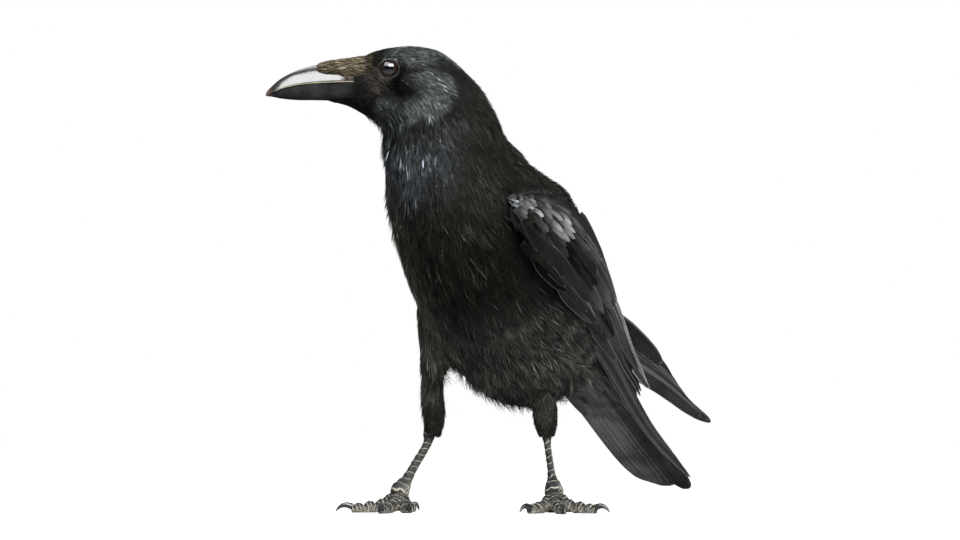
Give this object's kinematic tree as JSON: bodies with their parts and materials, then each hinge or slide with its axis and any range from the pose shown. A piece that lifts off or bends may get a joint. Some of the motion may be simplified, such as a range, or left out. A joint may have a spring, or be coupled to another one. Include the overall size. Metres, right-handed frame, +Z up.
{
  "type": "carrion crow",
  "caption": "Life-size standing carrion crow, all black, head turned to its right, wings folded, one still piece of display natural history.",
  "frame": {"origin": "middle of the box round the bird, on the floor", "axes": "+Z up, -X the way the breast faces, +X towards the tail, -Y the bird's left side"},
  "size_m": [0.3524, 0.1486, 0.2504],
  "materials": {
    "plumage": "soft black body feathers with a slate-blue sheen",
    "flight_feathers": "smooth black-grey vanes with pale worn edges",
    "bill_horn": "glossy black horn",
    "eye": "dark brown, wet and clear",
    "leg_scales": "dark horny scales with pale seams",
    "claw_horn": "satin black horn"
  },
  "bodies": {
    "root": {"bill_lower": "bill_horn", "bill_upper": "bill_horn", "claw_hind_left": "claw_horn", "claw_hind_right": "claw_horn", "claw_inner_left": "claw_horn", "claw_inner_right": "claw_horn", "claw_middle_left": "claw_horn", "claw_middle_right": "claw_horn", "claw_outer_left": "claw_horn", "claw_outer_right": "claw_horn", "eye_left": "eye", "eye_right": "eye", "head": "plumage", "neck": "plumage", "primaries_left": "flight_feathers", "primaries_right": "flight_feathers", "shank_left": "leg_scales", "shank_right": "leg_scales", "tail": "flight_feathers", "thigh_left": "plumage", "thigh_right": "plumage", "toe_hind_left": "leg_scales", "toe_hind_right": "leg_scales", "toe_inner_left": "leg_scales", "toe_inner_right": "leg_scales", "toe_middle_left": "leg_scales", "toe_middle_right": "leg_scales", "toe_outer_left": "leg_scales", "toe_outer_right": "leg_scales", "trunk": "plumage", "wing_left": "flight_feathers", "wing_right": "flight_feathers"}
  },
  "joints": []
}
